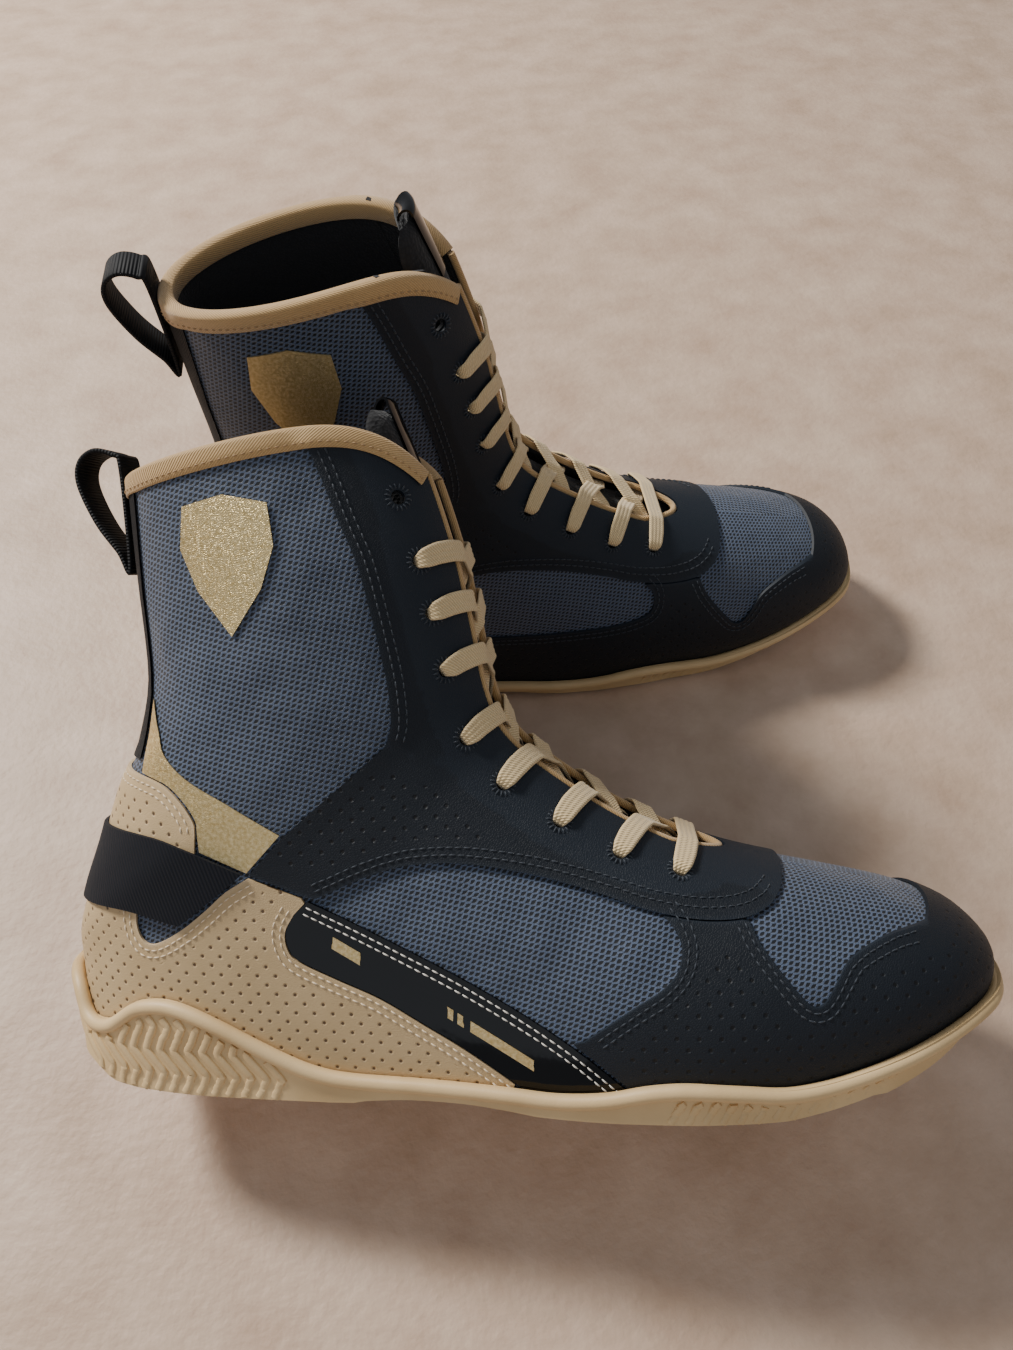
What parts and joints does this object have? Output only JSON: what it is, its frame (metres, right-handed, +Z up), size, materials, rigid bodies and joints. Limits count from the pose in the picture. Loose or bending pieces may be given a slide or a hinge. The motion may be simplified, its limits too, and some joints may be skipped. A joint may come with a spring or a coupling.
{
  "type": "boxing boots",
  "caption": "High lace-up boxing boots with mesh shafts, leather overlays and cupped rubber soles; the right boot leans against the upright left boot.",
  "frame": {"origin": "centre of the pair's bounding box, on the floor that both soles meet", "axes": "+Z up, +X from the heels to the toes, +Y from the leaning right boot to the upright left boot"},
  "size_m": [0.3366, 0.312, 0.2164],
  "materials": {
    "navy_leather": "matt perforated synthetic leather",
    "slate_mesh": "open woven mesh",
    "tan_leather": "matt perforated beige synthetic leather",
    "black_lining": "smooth black lining cloth",
    "tongue_cloth": "padded black knit",
    "black_webbing": "ribbed black webbing",
    "navy_elastic": "ribbed navy elastic with raised edges",
    "black_patent": "glossy coated black patent",
    "gold_film": "pale champagne gold film, satin metallic",
    "tan_binding": "light tan twill tape with a stitch line",
    "tan_piping": "round light tan piping",
    "cream_lace": "flat ribbed cream woven lace",
    "gum_rubber": "smooth matt cream gum rubber",
    "fibre_board": "pressed fibre board"
  },
  "bodies": {
    "left_boot": {"left_ankle_film_lateral": "gold_film", "left_ankle_film_medial": "gold_film", "left_back_strip": "black_webbing", "left_collar_binding": "tan_binding", "left_emblem_lateral": "gold_film", "left_emblem_medial": "gold_film", "left_eyelet_facing_lateral": "black_lining", "left_eyelet_facing_medial": "black_lining", "left_eyestay": "navy_leather", "left_forefoot_mesh": "slate_mesh", "left_heel_quarter": "tan_leather", "left_heel_strap": "navy_elastic", "left_insole": "black_lining", "left_lace": "cream_lace", "left_lasting_board": "fibre_board", "left_lining": "black_lining", "left_outsole": "gum_rubber", "left_pull_loop": "black_webbing", "left_shaft_mesh": "slate_mesh", "left_side_band": "black_patent", "left_throat_piping": "tan_piping", "left_toe_cap": "navy_leather"},
    "left_tongue": {"left_tongue": "tongue_cloth", "left_tongue_trim": "black_patent"},
    "right_boot": {"right_ankle_film_lateral": "gold_film", "right_ankle_film_medial": "gold_film", "right_back_strip": "black_webbing", "right_collar_binding": "tan_binding", "right_emblem_lateral": "gold_film", "right_emblem_medial": "gold_film", "right_eyelet_facing_lateral": "black_lining", "right_eyelet_facing_medial": "black_lining", "right_eyestay": "navy_leather", "right_forefoot_mesh": "slate_mesh", "right_heel_quarter": "tan_leather", "right_heel_strap": "navy_elastic", "right_insole": "black_lining", "right_lace": "cream_lace", "right_lasting_board": "fibre_board", "right_lining": "black_lining", "right_outsole": "gum_rubber", "right_pull_loop": "black_webbing", "right_shaft_mesh": "slate_mesh", "right_side_band": "black_patent", "right_throat_piping": "tan_piping", "right_toe_cap": "navy_leather"},
    "right_tongue": {"right_tongue": "tongue_cloth", "right_tongue_trim": "black_patent"}
  },
  "joints": [
    {"name": "right_boot_tip", "type": "hinge", "parent": "left_boot", "child": "right_boot", "pos_m": [-0.10156, -0.07056, 0], "axis": [0.9936, -0.1127, 0], "range_deg": [0, 46]},
    {"name": "left_tongue_fold", "type": "hinge", "parent": "left_boot", "child": "left_tongue", "pos_m": [0.08933, 0.10469, 0.05813], "axis": [0, 1, 0], "range_deg": [-8, 0], "stiffness_Nm_per_rad": 0.8, "springref_deg": 6.88},
    {"name": "right_tongue_fold", "type": "hinge", "parent": "right_boot", "child": "right_tongue", "pos_m": [0.06047, -0.08193, 0.07647], "axis": [0.1737, 0.6762, -0.716], "range_deg": [-8, 0], "stiffness_Nm_per_rad": 0.8, "springref_deg": 6.88}
  ]
}
